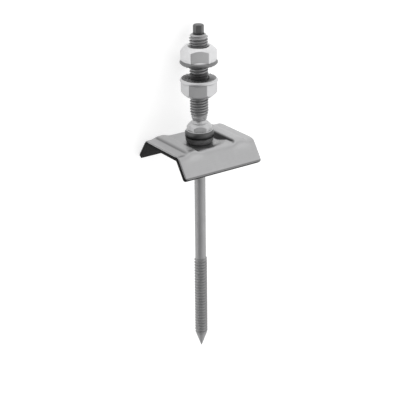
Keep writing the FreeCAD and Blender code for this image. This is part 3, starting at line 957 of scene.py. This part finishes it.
# %% Teeth on both bearing faces
for name, seat_height, facing_way in (
    ("upper_nut_teeth", UPPER_NUT_SEAT, -1.0),
    ("lower_nut_teeth", LOWER_NUT_SEAT, 1.0),
):
    teeth = run_tree(tooth_tree, name, {
        "Teeth": 24, "Inner Radius": 6.2 * MM, "Outer Radius": 9.3 * MM, "Tooth Height": 0.4 * MM,
        "Seat Height": seat_height, "Facing": facing_way, "Material": shaded_teeth_steel,
    })
    dress(teeth, shaded_teeth_steel)

# %% [markdown]
# ## Washer and seal
# Under the collar a stamped washer presses on a black rubber ring. The ring bulges a little where it
# is squeezed and narrows to its foot in the saddle's dish, so its profile is a soft curve.

# %% Washer
WASHER_FOOT = 2.0 * MM
WASHER_RADIUS = 7.8 * MM
WASHER_HOLE_RADIUS = 3.8 * MM
WASHER_EASE = 0.2 * MM
washer_skin = skin_round_axis([
    (WASHER_HOLE_RADIUS, WASHER_FOOT),
    (WASHER_RADIUS, WASHER_FOOT),
    (WASHER_RADIUS, COLLAR_FOOT),
    (WASHER_HOLE_RADIUS, COLLAR_FOOT),
], FINE_ROUND, closed_ring=True)
finish_piece(washer_skin, "washer", washer_steel, ["sealing_washer"], ease=WASHER_EASE)

# %% Seal
SEAL_FOOT = -1.6 * MM
SEAL_RADIUS = 7.65 * MM
SEAL_FOOT_RADIUS = 5.9 * MM
SEAL_BULGE_HEIGHT = 1.3 * MM
SEAL_CURVE_STEPS = 6
SEAL_HOLE_RADIUS = 3.15 * MM
SEAL_SHOULDER_WIDTH = 0.6 * MM
SEAL_SHOULDER_DROP = 0.5 * MM
seal_curve = []
for step in range(SEAL_CURVE_STEPS + 1):
    turned = math.tau / 4 * step / SEAL_CURVE_STEPS
    seal_curve.append((
        SEAL_FOOT_RADIUS + (SEAL_RADIUS - SEAL_FOOT_RADIUS) * math.sin(turned),
        SEAL_BULGE_HEIGHT - (SEAL_BULGE_HEIGHT - SEAL_FOOT) * math.cos(turned),
    ))
seal_skin = skin_round_axis([
    (SEAL_HOLE_RADIUS, SEAL_FOOT),
    *seal_curve,
    (SEAL_RADIUS, WASHER_FOOT - SEAL_SHOULDER_DROP),
    (SEAL_RADIUS - SEAL_SHOULDER_WIDTH, WASHER_FOOT),
    (SEAL_HOLE_RADIUS, WASHER_FOOT),
], FINE_ROUND, closed_ring=True)
finish_piece(seal_skin, "seal_ring", seal_rubber, ["seal"])

# %% [markdown]
# ## Saddle
# The saddle is one folded and pressed sheet. The CAD solid has every fold, the dish and both beads,
# but with crisp lines where they meet, and a press leaves soft ones. So a copy of the solid is laid
# in the screw's frame and made an even fine mesh by a voxel Remesh. Two Smooth modifiers then roll
# its creases softer, one all over but less at the sheared rims, and a longer one at the folds alone.
# The size and every form stay.

# %% An even fine copy of the saddle
SADDLE_VOXEL = 0.35 * MM
saddle_solid = bmesh.new()
saddle_solid.from_mesh(frame["nodes"]["saddle"].data)
bmesh.ops.remove_doubles(saddle_solid, verts=saddle_solid.verts, dist=MERGE_DISTANCE)
saddle_mesh = bpy.data.meshes.new("saddle_draft")
saddle_solid.to_mesh(saddle_mesh)
saddle_solid.free()
saddle_mesh.transform(lie.inverted())
saddle_draft = add_object("saddle_draft", saddle_mesh)
even = saddle_draft.modifiers.new("even", "REMESH")
even.mode = "VOXEL"
even.voxel_size = SADDLE_VOXEL
even_saddle = plain_copy(saddle_draft, "even_saddle")
print("Points in the even saddle:", len(even_saddle.data.vertices))

# %% Roll its pressed lines softer, the sheared rims least and the folds most
SADDLE_HALF_LENGTH = 25.0 * MM
RIM_REACH = 2.0 * MM
RIM_SHARE = 0.3
FOLD_START = 12.5 * MM
FOLD_REACH = 2.0 * MM
ROUNDS_EVERYWHERE = 26
ROUNDS_AT_FOLDS = 110
PRESSED_SMOOTH_ANGLE = math.radians(80)
foot_height = min(vertex.co.z for vertex in even_saddle.data.vertices)
inner_share = even_saddle.vertex_groups.new(name="inside the rims")
fold_share = even_saddle.vertex_groups.new(name="at the folds")
for vertex in even_saddle.data.vertices:
    place = vertex.co
    from_rim = min(SADDLE_HALF_LENGTH - abs(place.x), place.z - foot_height)
    inside = max(RIM_SHARE, min(1.0, from_rim / RIM_REACH))
    at_fold = max(0.0, min(1.0, (abs(place.y) - FOLD_START) / FOLD_REACH))
    inner_share.add([vertex.index], inside, "REPLACE")
    fold_share.add([vertex.index], at_fold * inside, "REPLACE")
for group_name, rounds in (("inside the rims", ROUNDS_EVERYWHERE), ("at the folds", ROUNDS_AT_FOLDS)):
    rolled = even_saddle.modifiers.new(group_name, "SMOOTH")
    rolled.factor = 0.5
    rolled.iterations = rounds
    rolled.vertex_group = group_name
pressed_saddle = plain_copy(even_saddle, "pressed_saddle")
dress(pressed_saddle, saddle_aluminium, ["saddle"])
pressed_saddle.vertex_groups.clear()
pressed_saddle.data.set_sharp_from_angle(angle=PRESSED_SMOOTH_ANGLE)

# %% [markdown]
# ## Lining
# The rubber under the saddle is right as a solid, so it stays as it is and only gets its finish.

# %% Finish the CAD node that stays
lining = frame["nodes"]["saddle_lining"]
for holder in lining.material_slots:
    holder.material = lining_rubber
print("saddle_lining has", len(lining.data.polygons), "faces, material slots:", len(lining.material_slots))

# %% [markdown]
# ## Floor, world and lamps
# The background of the photograph is pure white with a faint shadow. The floor is pale grey, and it
# is lifted to white only for the rays that see it, so its shadow stays and no extra light falls on
# the part. The world is brighter on one side, as a studio is by its window. The same rays see a white
# wall round the horizon, up to 14 degrees, so that the background is white in low views and in the
# bright metal too. Metal shows what stands round it, so the lamps are large soft panels, placed in
# the screw's frame as the photographer's were.

# %% Floor
WHITE = (1, 1, 1, 1)
FLOOR_GREY = (0.6, 0.6, 0.6, 1)
FLOOR_LIFT = 0.68
FLOOR_DROP = 0.02 * MM
HALF_FLOOR = 3.0
floor_mesh = bpy.data.meshes.new("floor")
floor_mesh.from_pydata(
    [(HALF_FLOOR * x, HALF_FLOOR * y, -FLOOR_DROP) for x, y in ((-1, -1), (1, -1), (1, 1), (-1, 1))],
    [], [(0, 1, 2, 3)],
)
floor = add_object("floor", floor_mesh)


def seen_rays(tree):
    """1 for rays from the camera, in reflections and through glass, and 0 for light on the part."""
    path = tree.nodes.new("ShaderNodeLightPath")
    direct = add_math(tree, "MAXIMUM", path.outputs["Is Camera Ray"], path.outputs["Is Glossy Ray"])
    return add_math(tree, "MAXIMUM", direct, path.outputs["Is Transmission Ray"])


floor_paint, floor_tree, floor_shader = new_finish("floor_paint", 0.0)
floor_shader.inputs["Base Color"].default_value = FLOOR_GREY
floor_shader.inputs["Roughness"].default_value = 0.9
floor_shader.inputs["Specular IOR Level"].default_value = 0.0
floor_shader.inputs["Emission Color"].default_value = WHITE
lift = product(floor_tree, seen_rays(floor_tree), FLOOR_LIFT)
floor_tree.links.new(lift, floor_shader.inputs["Emission Strength"])
floor.data.materials.append(floor_paint)
print("Floor:", 2 * HALF_FLOOR, "m wide,", round(FLOOR_DROP / MM, 2), "mm under the part")

# %% World
SKY_MEAN = 0.64
SKY_SLOPE = lie.to_3x3() @ Vector((0.57, -0.11, -0.12))
WALL_TOP = (0.24, 0.18)
world = bpy.data.worlds.new("surround")
bpy.context.scene.world = world
world.use_nodes = True
surround = world.node_tree
surround.nodes.clear()
sky = surround.nodes.new("ShaderNodeBackground")
backdrop = surround.nodes.new("ShaderNodeBackground")
choose = surround.nodes.new("ShaderNodeMixShader")
world_out = surround.nodes.new("ShaderNodeOutputWorld")
sky.inputs["Color"].default_value = WHITE
sky_direction = surround.nodes.new("ShaderNodeTexCoord").outputs["Generated"]
brighter_side = add_vector_math(surround, "DOT_PRODUCT", sky_direction, SKY_SLOPE, "Value")
surround.links.new(add_math(surround, "ADD", brighter_side, SKY_MEAN), sky.inputs["Strength"])
backdrop.inputs["Color"].default_value = WHITE
backdrop.inputs["Strength"].default_value = 1.0
near_horizon = climb_between(surround, split_vector(surround, sky_direction)["Z"], WALL_TOP)
surround.links.new(product(surround, seen_rays(surround), near_horizon), choose.inputs[0])
surround.links.new(sky.outputs[0], choose.inputs[1])
surround.links.new(backdrop.outputs[0], choose.inputs[2])
surround.links.new(choose.outputs[0], world_out.inputs["Surface"])
print("The surround at its brightest:", round(SKY_MEAN + SKY_SLOPE.length, 2))

# %% Lamps
PANEL_WIDTH = 0.7
PANEL_POWER = 0.4


def soft_panel(name, sideways_mm, toward_mm, up_mm):
    """A square panel placed in the screw's frame, as seen in the picture, and aimed at the saddle."""
    place = lie @ ((image_right * sideways_mm - away * toward_mm + Vector((0, 0, up_mm))) * MM)
    panel = bpy.data.lights.new(name, "AREA")
    panel.shape = "SQUARE"
    panel.size = PANEL_WIDTH
    panel.energy = PANEL_POWER
    lamp = add_object(name, panel)
    lamp.rotation_euler = (origin - place).to_track_quat("-Z", "Y").to_euler()
    lamp.location = place
    print(name, "hangs", round(place.z / MM), "mm over the floor")


soft_panel("right_panel", sideways_mm=700, toward_mm=350, up_mm=150)
soft_panel("overhead_panel", sideways_mm=100, toward_mm=300, up_mm=700)

# %% View transform
bpy.context.scene.view_settings.view_transform = "Standard"
